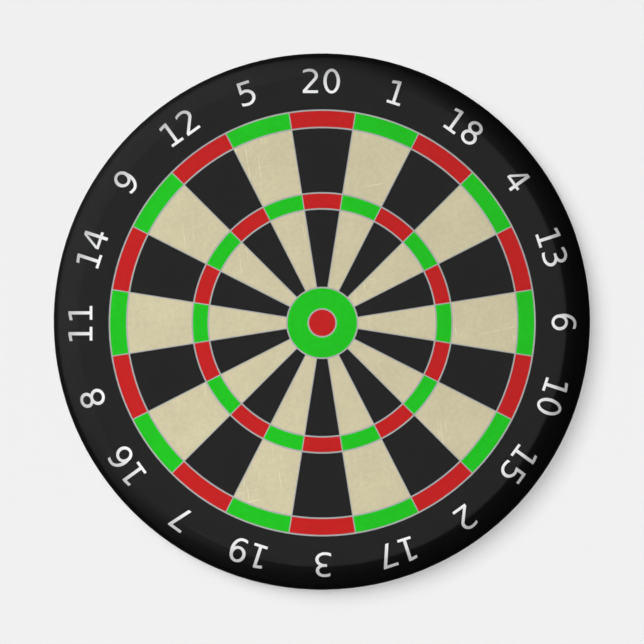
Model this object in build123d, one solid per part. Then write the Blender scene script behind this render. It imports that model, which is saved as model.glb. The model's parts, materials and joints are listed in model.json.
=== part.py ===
from build123d import *

import os
from math import asin, cos, degrees, radians, sin

# Wall-hung magnetic dartboard: a pressed steel pan under a printed film, with its backing and hanger behind.
#
# Frame, in millimetres: +Z up towards the 20, -Y out of the target face, +X to the right for a player.
# The origin is on the board's axis, in the plane of the wall that the rubber bumpers rest on.
#
# The printed film is one sheet on the real board. It is cut here along its colour borders, one colour to
# a sub-part. The grey lines and the numerals, which are printed last, stand slightly proud of the rest.

# Board and shell
BOARD_R = 200.0  # outside radius, over the print
DEPTH = 20.0  # print surface to wall plane
FILM = 0.2  # thickness of the printed film
PROUD = 0.05  # how far lines and numerals stand out of the film
STEEL = 0.6  # sheet thickness of the shell
FACE_R = 181.3  # radius of the flat target face
BEND_R = 6.0  # bend from the face into the rim
BEND_TURN = 18.0  # degrees that the bend turns through
RIM_TURN = 22.0  # degrees that the slacker rim turns through
CORNER_R = 10.4  # corner from the rim into the skirt
HEM_R = 2.2  # outside radius of the rolled hem
HEM_TURN = 270.0  # degrees that the hem rolls through
HEM_TO_WALL = 0.6  # gap between the hem and the wall

# Printed target
PRINT_RIGHT = 0.25  # the print sits this much off the pan's axis
PRINT_DROP = 0.95
LINE_W = 1.1  # printed circles
BORDER_W = 0.75  # printed borders between the sectors
BULL_R = 10.4  # line centres, from the bull outwards
OUTER_BULL_R = 26.4
TREBLE_IN_R = 85.0
TREBLE_OUT_R = 97.0
DOUBLE_IN_R = 145.7
DOUBLE_OUT_R = 158.7
NUMBERS = (20, 1, 18, 4, 13, 6, 10, 15, 2, 17, 3, 19, 7, 16, 8, 11, 14, 9, 12, 5)  # clockwise from the top
SECTOR = 360 / len(NUMBERS)
NUMERAL_H = 17.8  # height of a digit
NUMERAL_BASE_R = 171.4  # radius of the digits' baseline
NUMERAL_LEFT = 0.7  # how far a number is printed left of its sector's middle
DIGIT_ADVANCE = 0.873  # from one digit to the next, as a share of the height
STEM = 0.134  # upright and level stroke widths, as shares of the height
BAR = 0.114
OVERSHOOT = 0.019  # how far round digits pass the baseline and the top

# Inside the pan
PANEL_T = 3.0
PANEL_GAP = 1.0  # radial gap between the panel and the skirt
CORE_T = 6.0
CORE_R = 190.0
FOAM_R = 180.0

# Wall bumpers, pushed into the panel: one in the middle and four around it
BUMPER_R = 8.0
BUMPER_EDGE = 1.0  # rounding of the bumper's wall end
BUMPER_NECK_R = 2.5
BUMPER_BARB_R = 4.0
BUMPER_BARB_L = 3.2
BUMPER_CIRCLE_R = 150.0
BUMPER_ANGLES = (45, 135, 225, 315)
HOLE_GAP = 0.1  # radial gap round a neck or a rivet
CORE_HOLE_R = 6.5

# Hanger
HANGER_Z = 150.0  # height of the ring's pivot
WIRE_R = 1.25  # ring wire
RING_HALF_W = 12.0  # to the wire's centre
RING_LEG = 5.0  # straight leg, from the pivot to the round top
RING_CORNER_R = 3.0
PIVOT_GAP = 0.07
STRAP_T = 1.0
STRAP_W = 12.0
STRAP_L = 32.0
STRAP_ROLL = 290.0  # degrees that the strap's end rolls round the ring's bar
RIVET_DROPS = (10.0, 24.0)  # below the pivot
RIVET_R = 1.6
RIVET_HEAD_R = 3.2
RIVET_HEAD_H = 1.1
RIVET_TAIL_R = 2.4
RIVET_TAIL_L = 2.2
WASHER_R = 4.5
WASHER_T = 0.8

# Places along Y, from the wall forwards
HEM_Y = -(HEM_TO_WALL + HEM_R)  # centre of the hem
PANEL_BACK_Y = HEM_Y - HEM_R
PANEL_FRONT_Y = PANEL_BACK_Y - PANEL_T
CORE_FRONT_Y = PANEL_FRONT_Y - CORE_T
SHELL_BACK_Y = -DEPTH + FILM + STEEL
KNUCKLE_R = WIRE_R + PIVOT_GAP + STRAP_T
PIVOT_Y = PANEL_BACK_Y + KNUCKLE_R
STRAP_BACK_Y = PANEL_BACK_Y + STRAP_T

BEND_SIN, RIM_SIN = sin(radians(BEND_TURN)), sin(radians(BEND_TURN + RIM_TURN))
RIM_W = BOARD_R - FACE_R - BEND_R * BEND_SIN - CORNER_R * (1 - RIM_SIN)
RIM_R = RIM_W / (RIM_SIN - BEND_SIN)
PRINT_PLANE = Plane((PRINT_RIGHT, -DEPTH, -PRINT_DROP), x_dir=(1, 0, 0), z_dir=(0, -1, 0))
FAR = 2 * BOARD_R
HALF_SECTOR = radians(SECTOR / 2)


# ---------------------------------------------------------------- shell and film


def pan_path(inset, from_r=0.0):
    """Half section at a depth below the print's surface, from a radius on the face to the skirt's end."""
    face = Line((from_r, inset - DEPTH), (FACE_R, inset - DEPTH))
    bend = JernArc(face @ 1, face % 1, BEND_R - inset, BEND_TURN)
    rim = JernArc(bend @ 1, bend % 1, RIM_R - inset, RIM_TURN)
    corner = JernArc(rim @ 1, rim % 1, CORNER_R - inset, 90 - BEND_TURN - RIM_TURN)
    skirt = Line(corner @ 1, ((corner @ 1).X, HEM_Y))
    return [face, bend, rim, corner, skirt]


def sheet_section(outer, inner):
    """The face between two parallel paths."""
    start = Line(inner[0] @ 0, outer[0] @ 0)
    end = Line(outer[-1] @ 1, inner[-1] @ 1)
    return make_face([*outer, end, *inner, start])


def steel_shell():
    outer, inner = pan_path(FILM), pan_path(FILM + STEEL)
    outer.append(JernArc(outer[-1] @ 1, outer[-1] % 1, HEM_R, HEM_TURN))
    inner.append(JernArc(inner[-1] @ 1, inner[-1] % 1, HEM_R - STEEL, HEM_TURN))
    return revolve(sheet_section(outer, inner), Axis.Y)


def film(from_r, proud=0.0):
    """The printed film as a ring from a radius on the face to the end of the skirt."""
    return revolve(sheet_section(pan_path(-proud, from_r), pan_path(FILM, from_r)), Axis.Y)


def block(left, right, low, high):
    return Pos((left + right) / 2, (low + high) / 2) * Rectangle(right - left, high - low)


# ---------------------------------------------------------------- digits
# Every number below is a share of a digit's height, from its baseline and its middle.


def polygon(*points):
    return Polygon(*[(NUMERAL_H * x, NUMERAL_H * y) for x, y in points], align=None)


def box(left, right, low, high):
    return block(NUMERAL_H * left, NUMERAL_H * right, NUMERAL_H * low, NUMERAL_H * high)


def ring(x, y, rx, ry, stem=STEM, bar=BAR):
    """An upright oval stroke with these outside radii."""
    oval = Ellipse(NUMERAL_H * rx, NUMERAL_H * ry) - Ellipse(NUMERAL_H * (rx - stem), NUMERAL_H * (ry - bar))
    return Pos(NUMERAL_H * x, NUMERAL_H * y) * oval


def bowl(x, y, rx, ry):
    """The right half of an oval stroke."""
    return ring(x, y, rx, ry) & box(x, x + rx, y - ry, y + ry)


def tail(x, y, rx, ry, stem, end, side):
    """The flatter end of a stroke, above (side 1) or below (side -1) its centre, cut upright at x = end."""
    top = y + side * ry
    return ring(x, y, rx, ry, stem) & box(min(x, end), max(x, end), min(y, top), max(y, top))


def zero():
    return ring(0, 0.5, 0.346, 0.5 + OVERSHOOT)


def one():
    flag = polygon((-0.285, 0.83), (-0.03, 0.88), (-0.03, 1), (-0.285, 0.952))
    return box(-0.045, -0.045 + STEM, 0, 1) + box(-0.266, 0.31, 0, BAR) + flag


def two():
    x, y, rx, ry = -0.045, 0.729, 0.34, 0.29
    turn, past = radians(-35), radians(-39)  # the bowl turns into the diagonal, and runs on a little past it
    outer = (x + rx * cos(turn), y + ry * sin(turn))
    inner = (x + (rx - STEM) * cos(turn), y + (ry - BAR) * sin(turn))
    above = polygon((x, y), (x + 2 * rx * cos(past), y + 2 * ry * sin(past)), (1, 2), (x, 2))
    diagonal = polygon(outer, inner, (-0.335, BAR), (-0.335, 0), (-0.173, BAR))
    foot = box(-0.335, 0.3, 0, BAR)
    return (ring(x, y, rx, ry) & above) + tail(x, y, 0.42, ry, 0.06, -0.33, 1) + diagonal + foot


def three():
    upper = bowl(-0.037, 0.747, 0.34, 0.271) + tail(-0.037, 0.747, 0.49, 0.271, 0.127, -0.301, 1)
    lower = bowl(-0.065, 0.287, 0.391, 0.306) + tail(-0.065, 0.287, 0.488, 0.306, STEM, -0.331, -1)
    return upper + lower + box(-0.159, 0.0, 0.479, 0.59)


def four():
    left = [(0.047, 1), (-0.369, 0.366), (-0.369, 0.236), (0.083, 0.236), (0.083, 0)]
    right = [(0.217, 0), (0.217, 0.236), (0.36, 0.236), (0.36, 0.35), (0.217, 0.35), (0.217, 1)]
    return polygon(*left, *right) - polygon((0.083, 0.882), (-0.259, 0.35), (0.083, 0.35))


def five():
    left = [(-0.288, 1), (-0.288, 0.498)]
    right = [(-0.07, 0.549), (-0.07, 0.663), (-0.164, 0.641), (-0.164, 1)]
    belly = bowl(-0.07, 0.322, 0.387, 0.341) + tail(-0.07, 0.322, 0.53, 0.341, 0.159, -0.33, -1)
    return box(-0.288, 0.243, 1 - BAR, 1) + polygon(*left, *right) + belly


def six():
    x, y, rx, ry = 0.068, 0.5, 0.408, 0.519
    back = ring(x, y, rx, ry) & box(-1, x, 0.321, 2)
    return ring(0.017, 0.321, 0.334, 0.34) + back + tail(x, y, 0.566, ry, 0.111, 0.286, 1)


def seven():
    slant = [(0.157, 1 - BAR), (-0.185, 0), (-0.044, 0), (0.32, 0.942)]
    return polygon((0.32, 1), (-0.323, 1), (-0.323, 1 - BAR), *slant)


def eight():
    return ring(0, 0.746, 0.32, 0.272) + ring(0, 0.282, 0.343, 0.301)


def nine():
    return Pos(0, NUMERAL_H) * (Rot(0, 0, 180) * six())


DIGITS = {d: draw() for d, draw in enumerate((zero, one, two, three, four, five, six, seven, eight, nine))}


# ---------------------------------------------------------------- printed target


def turned(shape, place):
    """A sketch drawn at the top of the board, turned clockwise to its place among the numbers."""
    return Rot(0, 0, -SECTOR * place) * shape


def printed(sketch, proud=0.0):
    """A flat stretch of film of this outline."""
    return extrude(PRINT_PLANE.offset(proud) * sketch, amount=-(FILM + proud))


def cutter(sketch):
    """A deep prism of an outline on the print, to cut the film with."""
    return extrude(PRINT_PLANE.offset(1) * sketch, amount=DEPTH / 2, dir=(0, 1, 0))


def number_prisms(number, place):
    """Deep prisms of one number's digits, to be cut out of the film."""
    text = str(number)
    prisms = []
    for i, letter in enumerate(text):
        x = NUMERAL_H * DIGIT_ADVANCE * (i - (len(text) - 1) / 2) - NUMERAL_LEFT
        prisms.append(cutter(turned(Pos(x, NUMERAL_BASE_R) * DIGITS[int(letter)], place)))
    return prisms


def band_ring(centre_in, centre_out):
    """The ring between two line circles, less half a line at each side."""
    return Circle(centre_out - LINE_W / 2) - Circle(centre_in + LINE_W / 2)


def bed(zone, place):
    """The part of a ring inside one sector, half a border short of the sector's sides."""
    apex = BORDER_W / 2 / sin(HALF_SECTOR)
    side, top = FAR * sin(HALF_SECTOR), apex + FAR * cos(HALF_SECTOR)
    wedge = Polygon((0, apex), (side, top), (-side, top), align=None)
    return zone & turned(wedge, place)


def beds(zones, first):
    """Every second sector of these rings, from the first place, as separate pieces of film."""
    outlines = [bed(zone, place) for zone in zones for place in range(first, len(NUMBERS), 2)]
    return Compound([s for outline in outlines for s in printed(outline).solids()])


def line_web():
    """The printed grey lines: six circles and the twenty sector borders, all joined."""
    circles = (BULL_R, OUTER_BULL_R, TREBLE_IN_R, TREBLE_OUT_R, DOUBLE_IN_R, DOUBLE_OUT_R)
    web = Sketch() + [Circle(r + LINE_W / 2) - Circle(r - LINE_W / 2) for r in circles]
    border = block(-BORDER_W / 2, BORDER_W / 2, OUTER_BULL_R, DOUBLE_OUT_R)
    web += [turned(border, place + 0.5) for place in range(len(NUMBERS))]
    return printed(web, PROUD)


def target_nodes():
    inner_singles, outer_singles = band_ring(OUTER_BULL_R, TREBLE_IN_R), band_ring(TREBLE_OUT_R, DOUBLE_IN_R)
    trebles, doubles = band_ring(TREBLE_IN_R, TREBLE_OUT_R), band_ring(DOUBLE_IN_R, DOUBLE_OUT_R)
    return {
        "single_beds_black": beds((inner_singles, outer_singles), 0),
        "single_beds_cream": beds((inner_singles, outer_singles), 1),
        "treble_ring_red": beds((trebles,), 0),
        "treble_ring_green": beds((trebles,), 1),
        "double_ring_red": beds((doubles,), 0),
        "double_ring_green": beds((doubles,), 1),
        "outer_bull_green": printed(band_ring(BULL_R, OUTER_BULL_R)),
        "inner_bull_red": printed(Circle(BULL_R - LINE_W / 2)),
        "printed_line_web": line_web(),
    }


def number_nodes():
    """The black band that wraps the rim, and the numerals let into it."""
    prisms = [p for place, number in enumerate(NUMBERS) for p in number_prisms(number, place)]
    target = cutter(Circle(DOUBLE_OUT_R + LINE_W / 2))
    ink = film(DOUBLE_OUT_R, PROUD)
    return {
        "number_band": film(DOUBLE_IN_R) - [target, *prisms],
        "printed_numerals": Compound([s for p in prisms for s in (ink & p).solids()]),
    }


# ---------------------------------------------------------------- backing


def disc(radius, front_y, back_y):
    return extrude(Plane.XZ.offset(-back_y) * Circle(radius), amount=back_y - front_y)


def drilled(body, places, radius):
    for x, z in places:
        body -= Pos(x, 0, z) * disc(radius, -DEPTH, 0)
    return body


def bumper_places():
    angles = [radians(a) for a in BUMPER_ANGLES]
    return [(0.0, 0.0)] + [(BUMPER_CIRCLE_R * cos(a), BUMPER_CIRCLE_R * sin(a)) for a in angles]


def rivet_places():
    return [(0.0, HANGER_Z - drop) for drop in RIVET_DROPS]


def back_panel():
    """The hardboard disc, drilled for the bumpers' necks and the rivets."""
    panel = disc(BOARD_R - FILM - STEEL - PANEL_GAP, PANEL_FRONT_Y, PANEL_BACK_Y)
    panel = drilled(panel, bumper_places(), BUMPER_NECK_R + HOLE_GAP)
    return drilled(panel, rivet_places(), RIVET_R + HOLE_GAP)


def core_board():
    """The corrugated filler, cleared round the bumpers' barbs and the rivets' tails."""
    core = disc(CORE_R, CORE_FRONT_Y, PANEL_FRONT_Y)
    return drilled(core, bumper_places() + rivet_places(), CORE_HOLE_R)


def damping_foam():
    return disc(FOAM_R, SHELL_BACK_Y, CORE_FRONT_Y)


def bumper():
    """A rubber bumper on the board's axis: round head, neck through the panel, barb behind it."""
    edge = BUMPER_R - BUMPER_EDGE
    barb_y = PANEL_FRONT_Y - BUMPER_BARB_L
    rounding = JernArc((edge, 0), (1, 0), BUMPER_EDGE, -90)
    neck = [(BUMPER_R, PANEL_BACK_Y), (BUMPER_NECK_R, PANEL_BACK_Y), (BUMPER_NECK_R, PANEL_FRONT_Y)]
    barb = [(BUMPER_BARB_R, PANEL_FRONT_Y), (BUMPER_NECK_R, barb_y), (0, barb_y)]
    return revolve(make_face([rounding, Polyline(rounding @ 1, *neck, *barb, (0, 0), (edge, 0))]), Axis.Y)


def wall_bumpers():
    return Compound([(Pos(x, 0, z) * bumper()).solid() for x, z in bumper_places()])


# ---------------------------------------------------------------- hanger


def hanger_strap():
    """A steel strip that lies on the panel and rolls round the ring's bar, with a round lower end."""
    low = -STRAP_L
    outer = [Line((low, PANEL_BACK_Y), (0, PANEL_BACK_Y))]
    inner = [Line((low, STRAP_BACK_Y), (0, STRAP_BACK_Y))]
    outer.append(JernArc(outer[0] @ 1, (1, 0), KNUCKLE_R, STRAP_ROLL))
    inner.append(JernArc(inner[0] @ 1, (1, 0), KNUCKLE_R - STRAP_T, STRAP_ROLL))
    side = Plane((0, 0, HANGER_Z), x_dir=(0, 0, 1), z_dir=(-1, 0, 0))
    strip = extrude(side * sheet_section(outer, inner), amount=STRAP_W / 2, both=True)
    outline = block(-STRAP_W / 2, STRAP_W / 2, low + STRAP_W / 2, KNUCKLE_R)
    outline += Pos(0, low + STRAP_W / 2) * Circle(STRAP_W / 2)
    strip &= Pos(0, 0, HANGER_Z) * extrude(Plane.XZ * outline, amount=DEPTH)
    return drilled(strip, rivet_places(), RIVET_R + HOLE_GAP)


def hanger_ring():
    """The wire D-ring, standing up from its pivot bar."""
    w, c = RING_HALF_W, RING_CORNER_R
    bar = Line((c - w, 0), (w - c, 0))
    right = JernArc(bar @ 1, bar % 1, c, 90)
    right_leg = Line(right @ 1, (w, RING_LEG))
    top = JernArc(right_leg @ 1, right_leg % 1, w, 180)
    left_leg = Line(top @ 1, (-w, c))
    left = JernArc(left_leg @ 1, left_leg % 1, c, 90)
    pivot = Plane((0, PIVOT_Y, HANGER_Z), x_dir=(1, 0, 0), z_dir=(0, -1, 0))
    path = pivot * Wire([bar, right, right_leg, top, left_leg, left])
    section = Plane(path @ 0, z_dir=path % 0) * Circle(WIRE_R)
    return sweep(section, path)


def hanger_rivets():
    """Two pop rivets: domed head behind the strap, shank through strap and panel, set tail on the washer."""
    washer_front = PANEL_FRONT_Y - WASHER_T
    tail_y = washer_front - RIVET_TAIL_L
    dome_r = (RIVET_HEAD_R**2 + RIVET_HEAD_H**2) / (2 * RIVET_HEAD_H)
    dome = JernArc((0, STRAP_BACK_Y + RIVET_HEAD_H), (1, 0), dome_r, -degrees(asin(RIVET_HEAD_R / dome_r)))
    head = [(RIVET_R, STRAP_BACK_Y), dome @ 1]
    end = [(0, tail_y), (RIVET_TAIL_R, tail_y), (RIVET_TAIL_R, washer_front), (RIVET_R, washer_front)]
    rivet = revolve(make_face([dome, Polyline(dome @ 0, *end, *head)]), Axis.Y)
    return Compound([(Pos(x, 0, z) * rivet).solid() for x, z in rivet_places()])


def rivet_washers():
    washer = disc(WASHER_R, PANEL_FRONT_Y - WASHER_T, PANEL_FRONT_Y)
    washer -= disc(RIVET_R + HOLE_GAP, -DEPTH, 0)
    return Compound([(Pos(x, 0, z) * washer).solid() for x, z in rivet_places()])


def main():
    nodes = {
        "steel_shell": steel_shell(),
        **target_nodes(),
        **number_nodes(),
        "damping_foam": damping_foam(),
        "core_board": core_board(),
        "back_panel": back_panel(),
        "wall_bumpers": wall_bumpers(),
        "hanger_strap": hanger_strap(),
        "hanger_ring": hanger_ring(),
        "hanger_rivets": hanger_rivets(),
        "rivet_washers": rivet_washers(),
    }
    os.makedirs("parts", exist_ok=True)
    for name, shape in nodes.items():
        export_step(shape, f"parts/{name}.step")


main()
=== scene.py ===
import json
from math import acos, atan, cos, degrees, pi, radians, sin

import bmesh
import bpy
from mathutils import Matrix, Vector


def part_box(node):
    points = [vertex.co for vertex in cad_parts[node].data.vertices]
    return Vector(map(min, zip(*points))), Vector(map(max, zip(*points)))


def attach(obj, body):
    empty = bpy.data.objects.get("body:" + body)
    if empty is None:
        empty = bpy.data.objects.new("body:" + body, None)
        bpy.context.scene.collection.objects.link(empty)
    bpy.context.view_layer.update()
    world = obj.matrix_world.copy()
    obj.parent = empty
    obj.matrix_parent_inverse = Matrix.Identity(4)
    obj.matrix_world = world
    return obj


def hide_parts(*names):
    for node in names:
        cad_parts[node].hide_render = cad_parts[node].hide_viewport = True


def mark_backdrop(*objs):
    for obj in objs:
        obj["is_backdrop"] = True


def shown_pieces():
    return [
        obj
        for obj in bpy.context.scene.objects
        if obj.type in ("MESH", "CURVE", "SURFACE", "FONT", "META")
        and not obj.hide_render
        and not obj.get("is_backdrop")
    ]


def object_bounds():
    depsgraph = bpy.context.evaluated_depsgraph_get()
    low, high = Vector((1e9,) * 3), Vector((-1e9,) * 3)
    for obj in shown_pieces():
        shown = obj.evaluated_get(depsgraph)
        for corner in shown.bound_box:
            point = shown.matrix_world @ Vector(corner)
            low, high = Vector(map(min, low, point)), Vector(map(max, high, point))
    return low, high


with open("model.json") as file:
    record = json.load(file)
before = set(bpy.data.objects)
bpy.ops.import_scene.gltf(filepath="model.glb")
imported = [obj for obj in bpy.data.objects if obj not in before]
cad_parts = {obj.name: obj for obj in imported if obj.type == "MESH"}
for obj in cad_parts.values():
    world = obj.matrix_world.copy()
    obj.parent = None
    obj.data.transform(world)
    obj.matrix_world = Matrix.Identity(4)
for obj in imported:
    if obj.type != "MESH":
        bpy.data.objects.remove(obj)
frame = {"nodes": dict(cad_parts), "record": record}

# A wall-hung magnetic dartboard, seen square to its printed face.
# Shared frame, in metres: +Z up towards the 20, -Y out of the face, the wall that it hangs on at y = 0.

MM = 0.001
CAD_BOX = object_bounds()
BOARD_R = (CAD_BOX[1][0] - CAD_BOX[0][0]) / 2

# Studio
VIEW_WIDTH = 2.4015 * BOARD_R  # what the picture's width takes in
VIEW_SHIFT = (0.0001, -0.0003)  # the camera's aim, right of and above the board's axis
CAMERA_Y = -2.0
BACKDROP_Y = 1.0
FLOOR_Z = -1.0
FLOOR_FRONT_Y = -0.35  # the floor stops here, so that it throws little light up at the face
COVE_R = 0.4
COVE_STEPS = 16
STAGE_HALF = 5.0
DOME_SEGMENTS = 48
PALE = 0.851  # the backdrop's brightness
STAGE_PAINT = 0.2  # dark paint under strong light, so that the stage throws little light back
# Softboxes: (degrees off the face's normal, degrees round from the right, distance, diameter, power)
SHEEN = (45.0, 150.0, 2.4, 8.0, 222.0)  # only seen as the gloss on the film
KEY = (22.0, 142.0, 4.0, 1.0, 130.0)  # the key and the fill only give plain light
FILL = (35.0, 235.0, 1.0, 0.5, 3.07)
BACK_BOXES = ((145.0, 60.0, 0.85, 1.0, 5.0), (145.0, 130.0, 0.85, 1.0, 3.0))
# Suns that share the drop shadow, so that it fades out: (offset mm, blur mm, share of the backdrop's light)
AXIAL_SUNS = ((3.3, 1.2, 0.12), (7.5, 3.4, 0.11), (13.1, 7.4, 0.20))
SHADOW_ROUND = -37.0  # degrees round from the right, where the drop shadow falls
OTHER_BLUR = 4.0  # mm, the blur of the rest of the backdrop's light
WORLD_LIGHT = 0.02

# Finishes, with their lengths in mm
INK_GLOSS = 0.205  # specular level
INK_ROUGHNESS = 0.4
NUMERAL_SHADE_RADII = (171, 188)  # radii over which the numerals' white turns grey: painted shade on the curved rim
HANDLED_EDGE = (150, 198)  # radii between which hands have darkened the back panel
SCUFFED_HEM = (-1.4, -0.7)  # y between which the lacquer starts to show bare steel
WEAVE_PITCH = 9.6
SCRATCHES = ((-82, 0.50), (12, 0.56), (55, 0.58))  # (direction in degrees, where patches start)
SCRATCH_SHOW = 0.8  # how much of its own colour a scratch shows

# Turned pieces on the back, with their lengths in mm
BUMPER_R = 8.0
BUMPER_EDGE_R = 1.0
NECK_R = 2.5  # the bumper's neck, in the panel's hole
BARB_R = 4.0
RIVET_HEAD_R = 3.2
RIVET_HEAD_RISE = 1.1
MOUTH_R = 1.12  # the opening in the rivet's head, round the mandrel
SHANK_R = 1.6
TAIL_R = 2.4
ARC_STEPS = 4
TURN_STEPS = 64
EDGE_ROUND = 0.12  # the bevel along sharp edges
SHARP = 35.0  # degrees from which an edge counts as sharp


# ---------------------------------------------------------------- studio


def add(name, data, location=(0, 0, 0)):
    """A new object in the scene."""
    made = bpy.data.objects.new(name, data)
    made.location = location
    bpy.context.scene.collection.objects.link(made)
    return made


def make_camera():
    """A camera with no perspective, square to the face."""
    data = bpy.data.cameras.new("camera")
    data.type = "ORTHO"
    data.ortho_scale = VIEW_WIDTH
    camera = add("camera", data, (VIEW_SHIFT[0], CAMERA_Y, VIEW_SHIFT[1]))
    camera.rotation_euler = (radians(90), 0, 0)
    bpy.context.scene.camera = camera


def direction(slant, round_from_right):
    """Unit vector at these degrees off the face's normal, and round it as the camera sees it."""
    out = sin(radians(slant))
    turn = radians(round_from_right)
    return Vector((out * cos(turn), -cos(radians(slant)), out * sin(turn)))


def aimed(name, data, source, location, receivers):
    """A light that shines from source, and only on the receivers."""
    light = add(name, data, location)
    light.rotation_euler = source.to_track_quat("Z", "Y").to_euler()
    light.visible_camera = False
    group = bpy.data.collections.new(name + "_receivers")
    for thing in receivers:
        group.objects.link(thing)
    light.light_linking.receiver_collection = group
    return light


def sun(name, source, blur, share, receivers):
    """A sun that gives the backdrop this share of its light, and shadows there a blur this wide each way."""
    data = bpy.data.lights.new(name, "SUN")
    data.energy = share * pi * PALE / STAGE_PAINT / -source.y
    data.angle = 2 * atan(blur / BACKDROP_Y)
    return aimed(name, data, source, (0, 0, 0), receivers)


def softbox(name, box, receivers):
    """A round softbox aimed at the board's middle."""
    slant, round_from_right, distance, size, power = box
    data = bpy.data.lights.new(name, "AREA")
    data.shape = "DISK"
    data.size = size
    data.energy = power
    source = direction(slant, round_from_right)
    return aimed(name, data, source, distance * source, receivers)


def make_lights(pieces, backdrop):
    """Suns for the backdrop, softboxes for the board, and softboxes behind it for the bare pieces there."""
    for i, (offset, blur, share) in enumerate(AXIAL_SUNS):
        source = direction(degrees(atan(offset * MM / BACKDROP_Y)), SHADOW_ROUND + 180)
        sun(f"axial_sun_{i}", source, blur * MM, share, [backdrop])
    other_share = 1 - sum(share for offset, blur, share in AXIAL_SUNS)
    sun("backdrop_sun", direction(*SHEEN[:2]), OTHER_BLUR * MM, other_share, [backdrop])
    sheen = softbox("sheen_softbox", SHEEN, pieces)
    sheen.visible_diffuse = False
    sheen.data.cycles.use_multiple_importance_sampling = False
    softbox("key_softbox", KEY, pieces).visible_glossy = False
    softbox("fill_softbox", FILL, pieces).visible_glossy = False
    behind = [piece for piece in pieces if not piece.active_material.name.startswith("ink")]
    for i, box in enumerate(BACK_BOXES):
        softbox(f"back_softbox_{i}", box, behind)
    world = bpy.data.worlds.new("world")
    world.use_nodes = True
    world.node_tree.nodes["Background"].inputs["Color"].default_value = (WORLD_LIGHT,) * 3 + (1,)
    bpy.context.scene.world = world


def flat_material(name, grey, emission=False):
    """One even grey with no gloss, either painted or glowing."""
    material = bpy.data.materials.new(name)
    material.use_nodes = True
    shader = material.node_tree.nodes["Principled BSDF"]
    shader.inputs["Specular IOR Level"].default_value = 0
    shader.inputs["Roughness"].default_value = 1
    socket = "Emission Color" if emission else "Base Color"
    shader.inputs[socket].default_value = (grey,) * 3 + (1,)
    if emission:
        shader.inputs["Base Color"].default_value = (0, 0, 0, 1)
        shader.inputs["Emission Strength"].default_value = 1
    return material


def make_stage():
    """A floor that curves up into a backdrop, inside a pale dome that only the camera sees."""
    bend = [radians(90 * i / COVE_STEPS) for i in range(COVE_STEPS + 1)]
    corner_y, corner_z = BACKDROP_Y - COVE_R, FLOOR_Z + COVE_R
    profile = [(FLOOR_FRONT_Y, FLOOR_Z)]
    profile += [(corner_y + COVE_R * sin(a), corner_z - COVE_R * cos(a)) for a in bend]
    profile += [(BACKDROP_Y, STAGE_HALF)]
    verts = [(x, y, z) for y, z in profile for x in (-STAGE_HALF, STAGE_HALF)]
    faces = [(2 * i, 2 * i + 1, 2 * i + 3, 2 * i + 2) for i in range(len(profile) - 1)]
    mesh = bpy.data.meshes.new("cove")
    mesh.from_pydata(verts, [], faces)
    mesh.materials.append(flat_material("stage_paint", STAGE_PAINT))
    mesh.shade_smooth()
    cove = add("studio_cove", mesh)
    cove.visible_glossy = False

    rings = DOME_SEGMENTS // 2
    bpy.ops.mesh.primitive_uv_sphere_add(segments=DOME_SEGMENTS, ring_count=rings, radius=2 * STAGE_HALF)
    dome = bpy.context.object
    dome.name = "studio_dome"
    dome.data.materials.append(flat_material("pale_dome", PALE, emission=True))
    dome.visible_diffuse = dome.visible_glossy = dome.visible_shadow = dome.visible_transmission = False
    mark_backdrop(cove, dome)
    return cove


# ---------------------------------------------------------------- turned pieces


def arc(centre, radius, start, end):
    """Points round an arc, by degrees from straight out towards the wall."""
    turns = [radians(start + (end - start) * i / ARC_STEPS) for i in range(ARC_STEPS + 1)]
    return [(centre[0] + radius * cos(turn), centre[1] + radius * sin(turn)) for turn in turns]


def bumper_outline():
    """Half of a bumper's section as (radius, y) in mm, from the wall forwards."""
    panel_in, panel_out = (corner.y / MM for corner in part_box("back_panel"))
    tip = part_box("wall_bumpers")[0].y / MM
    dimple = [(0, -0.7), (1.1, -0.7), (1.6, -0.45), (1.9, 0)]  # left by the mould's gate
    groove = [(4.9, 0), (5.3, -0.55), (5.9, -0.55), (6.3, 0)]
    edge = arc((BUMPER_R - BUMPER_EDGE_R, -BUMPER_EDGE_R), BUMPER_EDGE_R, 90, 0)
    neck = [(BUMPER_R, panel_out), (NECK_R, panel_out), (NECK_R, panel_in)]
    barb = [(BARB_R, panel_in), (NECK_R, tip), (0, tip)]
    return dimple + groove + edge + neck + barb


def rivet_outline():
    """Half of a pop rivet's section as (radius, y) in mm, from the wall forwards."""
    tail, top = (corner.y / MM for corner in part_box("hanger_rivets"))
    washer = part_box("rivet_washers")[0].y / MM
    seat = top - RIVET_HEAD_RISE
    dome_r = (RIVET_HEAD_R**2 + RIVET_HEAD_RISE**2) / (2 * RIVET_HEAD_RISE)
    mouth, rim = (degrees(acos(radius / dome_r)) for radius in (MOUTH_R, RIVET_HEAD_R))
    dome = arc((0, top - dome_r), dome_r, mouth, rim)
    mandrel = [(0, top - 0.6), (0.62, top - 0.56), (0.74, top - 0.72), (0.8, seat)]  # snapped off short
    hole = [(0.92, seat), (0.98, top - 0.16)]
    shank = [(SHANK_R, seat), (SHANK_R, washer), (TAIL_R, washer), (TAIL_R, tail), (0, tail)]
    return mandrel + hole + dome + shank


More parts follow.
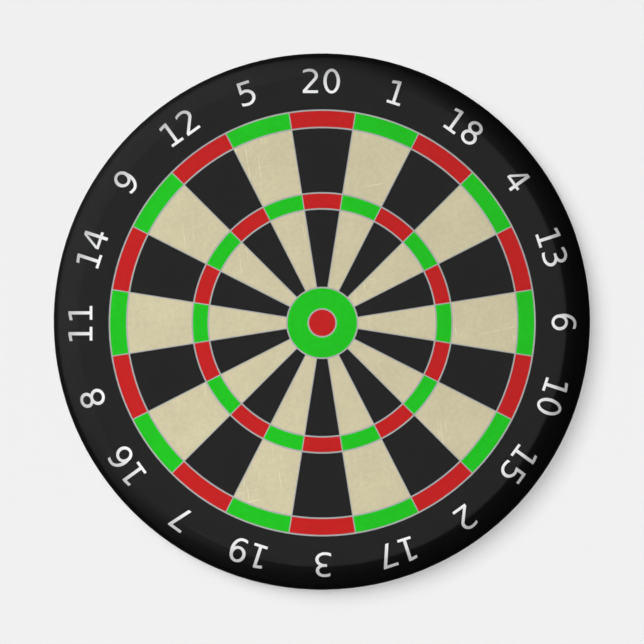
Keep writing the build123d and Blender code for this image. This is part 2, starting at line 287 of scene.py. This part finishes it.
def turned_piece(name, node, outline, places, slot, finishes):
    """Smooth copies of one turned outline at these (x, z) places, standing for a CAD node."""
    bm = bmesh.new()
    for x, z in places:
        points = [bm.verts.new((x + r * MM, y * MM, z)) for r, y in outline]
        edges = [bm.edges.new(pair) for pair in zip(points, points[1:])]
        turn = {"cent": (x, 0, z), "axis": (0, 1, 0), "angle": 2 * pi, "steps": TURN_STEPS}
        bmesh.ops.spin(bm, geom=points + edges, **turn)
    bmesh.ops.remove_doubles(bm, verts=bm.verts, dist=0.001 * MM)
    bmesh.ops.recalc_face_normals(bm, faces=bm.faces)
    mesh = bpy.data.meshes.new(name)
    bm.to_mesh(mesh)
    bm.free()
    mesh.shade_smooth()
    mesh.set_sharp_from_angle(angle=radians(SHARP))
    mesh.materials.append(finishes[slot])
    piece = add(name, mesh)
    bevel = piece.modifiers.new("bevel", "BEVEL")
    bevel.width, bevel.segments = EDGE_ROUND * MM, 2
    bevel.limit_method, bevel.angle_limit = "ANGLE", radians(SHARP)
    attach(piece, "board")
    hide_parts(node)


def make_bumpers(finishes):
    """One bumper in the middle of the back, and four on a square round it."""
    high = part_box("wall_bumpers")[1]
    out = high[0] - BUMPER_R * MM
    places = [(0, 0)] + [(x, z) for x in (-out, out) for z in (-out, out)]
    turned_piece("moulded_bumpers", "wall_bumpers", bumper_outline(), places, "bumper_rubber", finishes)


def make_rivets(finishes):
    """Two pop rivets, one above the other, through the strap's flat part."""
    low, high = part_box("hanger_rivets")
    places = [(0, z) for z in (low[2] + RIVET_HEAD_R * MM, high[2] - RIVET_HEAD_R * MM)]
    turned_piece("pop_rivets", "hanger_rivets", rivet_outline(), places, "rivet_aluminium", finishes)


# ---------------------------------------------------------------- finishes


class Finish:
    """A node material in the making: its shader, and short calls that add the nodes behind it."""

    def __init__(self, name, roughness, metallic=0.0, specular=0.5):
        self.material = bpy.data.materials.new(name)
        self.material.use_nodes = True
        self.tree = self.material.node_tree
        self.shader = self.tree.nodes["Principled BSDF"]
        self.shader.inputs["Roughness"].default_value = roughness
        self.shader.inputs["Metallic"].default_value = metallic
        self.shader.inputs["Specular IOR Level"].default_value = specular
        self.place = self.node("ShaderNodeTexCoord").outputs["Object"]

    def node(self, kind, inputs=None, **settings):
        """A node with these settings, and with each input linked to a socket or set to a value."""
        made = self.tree.nodes.new(kind)
        for key, value in settings.items():
            setattr(made, key, value)
        for key, value in (inputs or {}).items():
            if isinstance(value, bpy.types.NodeSocket):
                self.tree.links.new(value, made.inputs[key])
            else:
                made.inputs[key].default_value = value
        return made

    def turned(self, turn, stretch):
        """The place on the object, turned about Y and squeezed along the new X, so patterns run long."""
        spot = self.node("ShaderNodeMapping", {"Vector": self.place, "Rotation": (0, radians(turn), 0)})
        squeeze = {"Vector": spot.outputs[0], "Scale": (1 / stretch, 1, 1)}
        return self.node("ShaderNodeMapping", squeeze).outputs[0]

    def radius(self):
        """Distance from the board's axis."""
        flat = self.node("ShaderNodeMapping", {"Vector": self.place, "Scale": (1, 0, 1)}).outputs[0]
        return self.node("ShaderNodeVectorMath", {0: flat}, operation="LENGTH").outputs["Value"]

    def noise(self, size_mm, detail=3, roughness=0.5, place=None):
        """Cloudy noise, mostly between 0.3 and 0.7, with blobs of about this size."""
        inputs = {"Vector": place or self.place, "Scale": 1 / (size_mm * MM), "Detail": detail}
        inputs["Roughness"] = roughness
        return self.node("ShaderNodeTexNoise", inputs).outputs["Fac"]

    def cells(self, size_mm):
        """Packed round cells of about this size: 0 in the middle of a cell, higher towards its wall."""
        inputs = {"Vector": self.place, "Scale": 1 / (size_mm * MM)}
        return self.node("ShaderNodeTexVoronoi", inputs).outputs["Distance"]

    def spread(self, value, low, high, to_low=0.0, to_high=1.0):
        """value from low to high becomes to_low to to_high, and stays inside."""
        inputs = {"Value": value, "From Min": low, "From Max": high, "To Min": to_low, "To Max": to_high}
        return self.node("ShaderNodeMapRange", inputs, clamp=True).outputs[0]

    def maths(self, operation, a, b):
        return self.node("ShaderNodeMath", {0: a, 1: b}, operation=operation).outputs[0]

    def blend(self, factor, a, b):
        """Colour a where factor is 0, b where it is 1."""
        made = self.node("ShaderNodeMix", data_type="RGBA")
        for socket, value in ((0, factor), (6, a), (7, b)):  # the factor and the two colour sockets
            if isinstance(value, bpy.types.NodeSocket):
                self.tree.links.new(value, made.inputs[socket])
            else:
                made.inputs[socket].default_value = value
        return made.outputs[2]

    def paint(self, colour=None, roughness=None, height=None, depth_mm=0.02, strength=0.5):
        """Feeds the shader, then returns the finished material."""
        if colour is not None:
            self.tree.links.new(colour, self.shader.inputs["Base Color"])
        if roughness is not None:
            self.tree.links.new(roughness, self.shader.inputs["Roughness"])
        if height is not None:
            inputs = {"Height": height, "Distance": depth_mm * MM, "Strength": strength}
            bump = self.node("ShaderNodeBump", inputs)
            self.tree.links.new(bump.outputs[0], self.shader.inputs["Normal"])
        return self.material


def shade(colour, by):
    """A colour made this many times as bright, with full opacity."""
    return tuple(min(1, c * by) for c in colour) + (1,)


def scratches(finish):
    """Fine straight scratches in a few directions, only in patches: 1 in a scratch, 0 elsewhere."""
    total = None
    for turn, patch_from in SCRATCHES:  # each direction has patches of its own size, so they differ
        streak = finish.noise(0.9, 2, 0.6, finish.turned(turn, 45))
        line = finish.spread(streak, 0.655, 0.70)
        patch = finish.spread(finish.noise(42 + turn / 10, 2), patch_from, patch_from + 0.12)
        line = finish.maths("MULTIPLY", line, patch)
        total = line if total is None else finish.maths("MAXIMUM", total, line)
    return total


def ink(name, colour, mottle=0.035, scratch_colour=None, rim_shade_colour=None):
    """Satin ink on film: faint mottling, slight orange peel, hairline scratches, and painted shade down the
    rim.
    """
    finish = Finish(name, INK_ROUGHNESS, specular=INK_GLOSS)
    cloud = finish.maths("ADD", finish.noise(26, 5, 0.65), finish.noise(3.4, 3, 0.6))
    tint = finish.blend(finish.spread(cloud, 0.7, 1.3), shade(colour, 1 - mottle), shade(colour, 1 + mottle))
    # Painted shade: the ink goes grey out on the rim, in place of the shade where the rim curves away from
    # the light.
    if rim_shade_colour:
        rim_shade = finish.spread(finish.radius(), *(MM * r for r in NUMERAL_SHADE_RADII))
        tint = finish.blend(rim_shade, tint, shade(rim_shade_colour, 1))
    if scratch_colour:
        shown = finish.maths("MULTIPLY", scratches(finish), SCRATCH_SHOW)
        tint = finish.blend(shown, tint, shade(scratch_colour, 1))
    rough = finish.spread(finish.noise(9, 4), 0.3, 0.7, INK_ROUGHNESS - 0.02, INK_ROUGHNESS + 0.02)
    return finish.paint(tint, rough, finish.noise(1.4, 2), depth_mm=0.01, strength=0.35)


def black_ink(name):
    return ink(name, (0.0027, 0.0027, 0.0027), 0.2)


def cream_ink(name):
    return ink(name, (0.595, 0.535, 0.350), 0.075, scratch_colour=(0.86, 0.83, 0.58))


def red_ink(name):
    return ink(name, (0.500, 0.0016, 0.0014), 0.06)


def green_ink(name):
    return ink(name, (0.0016, 0.504, 0.0014), 0.06)


def grey_ink(name):
    return ink(name, (0.375, 0.385, 0.380), 0.05)


def white_ink(name):
    # The rim grey is painted shade on the numerals where the rim curves away from the light.
    return ink(name, (0.89, 0.89, 0.89), 0.02, rim_shade_colour=(0.54, 0.54, 0.54))


def lacquered_steel(name):
    """Black lacquer, scuffed to bare steel in specks along the hem, where hands and walls meet it."""
    finish = Finish(name, 0.4, specular=0.5)
    height = finish.node("ShaderNodeSeparateXYZ", {0: finish.place}).outputs["Y"]
    at_hem = finish.spread(height, *(MM * y for y in SCUFFED_HEM))
    specks = finish.spread(finish.noise(2.2, 6, 0.75), 0.60, 0.64)
    bare = finish.maths("MULTIPLY", at_hem, specks)
    tint = finish.blend(bare, (0.012, 0.012, 0.013, 1), (0.36, 0.36, 0.37, 1))
    rough = finish.spread(finish.noise(14, 5), 0.3, 0.7, 0.32, 0.5)
    finish.tree.links.new(bare, finish.shader.inputs["Metallic"])
    return finish.paint(tint, rough, finish.noise(1.1, 3), depth_mm=0.02, strength=0.4)


def hardboard(name):
    """Brown pressed fibre, screen side out: a woven imprint, matted fibres, dark flecks, a handled edge."""
    finish = Finish(name, 0.75, specular=0.3)
    fibre = finish.noise(1.2, 6, 0.7)
    mat = finish.noise(9, 6, 0.75, finish.turned(35, 1.8))
    cloud = finish.noise(60, 5, 0.65)
    base = finish.blend(finish.spread(cloud, 0.35, 0.65), (0.120, 0.060, 0.027, 1), (0.215, 0.118, 0.056, 1))
    base = finish.blend(finish.spread(mat, 0.4, 0.72, 0, 0.6), base, (0.30, 0.180, 0.092, 1))
    base = finish.blend(finish.spread(fibre, 0.35, 0.75, 0, 0.5), base, (0.33, 0.205, 0.105, 1))
    for turn, size in ((35, 2.6), (-50, 4.2)):
        flecks = finish.spread(finish.noise(size, 5, 0.8, finish.turned(turn, 4)), 0.62, 0.70, 0, 0.75)
        base = finish.blend(flecks, base, (0.050, 0.025, 0.013, 1))
    handled = finish.spread(finish.radius(), *(MM * r for r in HANDLED_EDGE), 0, 0.45)
    base = finish.blend(finish.maths("MULTIPLY", handled, cloud), base, (0.045, 0.024, 0.014, 1))
    weave = None
    for axis in ("X", "Z"):
        inputs = {"Vector": finish.place, "Scale": 1 / (WEAVE_PITCH * MM), "Distortion": 0.6}
        line = finish.node("ShaderNodeTexWave", inputs, bands_direction=axis).outputs["Fac"]
        weave = line if weave is None else finish.maths("MULTIPLY", weave, line)
    rough = finish.spread(fibre, 0.3, 0.7, 0.65, 0.85)
    height = finish.maths("ADD", weave, finish.maths("MULTIPLY", fibre, 0.6))
    return finish.paint(base, rough, height, depth_mm=0.15, strength=0.7)


def kraft_board(name):
    """Plain brown paper board with fibres that run across."""
    finish = Finish(name, 0.9, specular=0.2)
    fibre = finish.noise(0.9, 6, 0.7, finish.turned(0, 5))
    tint = finish.blend(finish.spread(fibre, 0.3, 0.7), (0.36, 0.235, 0.125, 1), (0.50, 0.345, 0.195, 1))
    return finish.paint(tint, finish.spread(fibre, 0.3, 0.7, 0.82, 0.95), fibre, depth_mm=0.05)


def closed_foam(name):
    """Dark grey foam with fine closed cells."""
    finish = Finish(name, 0.95, specular=0.2)
    cells = finish.cells(0.8)
    tint = finish.blend(finish.spread(cells, 0.1, 0.7), (0.085, 0.085, 0.088, 1), (0.045, 0.045, 0.047, 1))
    return finish.paint(tint, finish.spread(finish.noise(5), 0.3, 0.7, 0.88, 0.98), cells, depth_mm=0.15)


def moulded_rubber(name):
    """Dull black rubber with a bloom of pale dust."""
    finish = Finish(name, 0.7, specular=0.35)
    dust = finish.spread(finish.noise(3.5, 6, 0.75), 0.45, 0.75, 0, 0.5)
    tint = finish.blend(dust, (0.014, 0.014, 0.015, 1), (0.075, 0.073, 0.070, 1))
    rough = finish.spread(finish.noise(1.3, 4), 0.3, 0.7, 0.62, 0.82)
    return finish.paint(tint, rough, finish.noise(0.35, 3), depth_mm=0.03, strength=0.6)


def zinc_plate(name):
    """Zinc on steel: a cool, patchy metal, dulled in places, with fine drawing lines."""
    finish = Finish(name, 0.35, metallic=1.0)
    patch = finish.noise(2.2, 6, 0.75)
    tint = finish.blend(finish.spread(patch, 0.38, 0.64), (0.44, 0.46, 0.50, 1), (0.80, 0.81, 0.80, 1))
    drawn = finish.noise(0.25, 3, 0.6, finish.turned(90, 12))
    dulled = finish.spread(patch, 0.4, 0.7, 0.2, 0)
    rough = finish.maths("ADD", finish.spread(drawn, 0.3, 0.7, 0.22, 0.36), dulled)
    return finish.paint(tint, rough, drawn, depth_mm=0.01, strength=0.5)


def rivet_aluminium(name):
    """Bright aluminium with a patchy polish."""
    finish = Finish(name, 0.35, metallic=1.0)
    patch = finish.noise(0.8, 5, 0.7)
    tint = finish.blend(finish.spread(patch, 0.35, 0.7), (0.66, 0.67, 0.69, 1), (0.82, 0.82, 0.83, 1))
    rough = finish.spread(patch, 0.3, 0.7, 0.28, 0.48)
    return finish.paint(tint, rough, finish.noise(0.3, 3), depth_mm=0.01, strength=0.5)


FINISHES = {
    "ink_black": black_ink,
    "ink_cream": cream_ink,
    "ink_red": red_ink,
    "ink_green": green_ink,
    "ink_grey": grey_ink,
    "ink_white": white_ink,
    "shell_steel": lacquered_steel,
    "foam": closed_foam,
    "core_board": kraft_board,
    "hardboard": hardboard,
    "bumper_rubber": moulded_rubber,
    "zinc_steel": zinc_plate,
    "rivet_aluminium": rivet_aluminium,
}


def finish_nodes():
    """Gives every CAD node the finish of its material slot."""
    made = {slot: build(slot + "_finish") for slot, build in FINISHES.items()}
    for part in frame["record"]["subparts"]:
        node = frame["nodes"][part["node"]]
        node.data.materials.clear()
        node.data.materials.append(made[part["material_slot"]])
    return made


def main():
    """Dresses the board and lights it."""
    view = bpy.context.scene.view_settings
    view.view_transform = "Standard"
    view.look = "None"
    make_camera()
    finishes = finish_nodes()
    make_bumpers(finishes)
    make_rivets(finishes)
    make_lights(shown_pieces(), make_stage())


main()
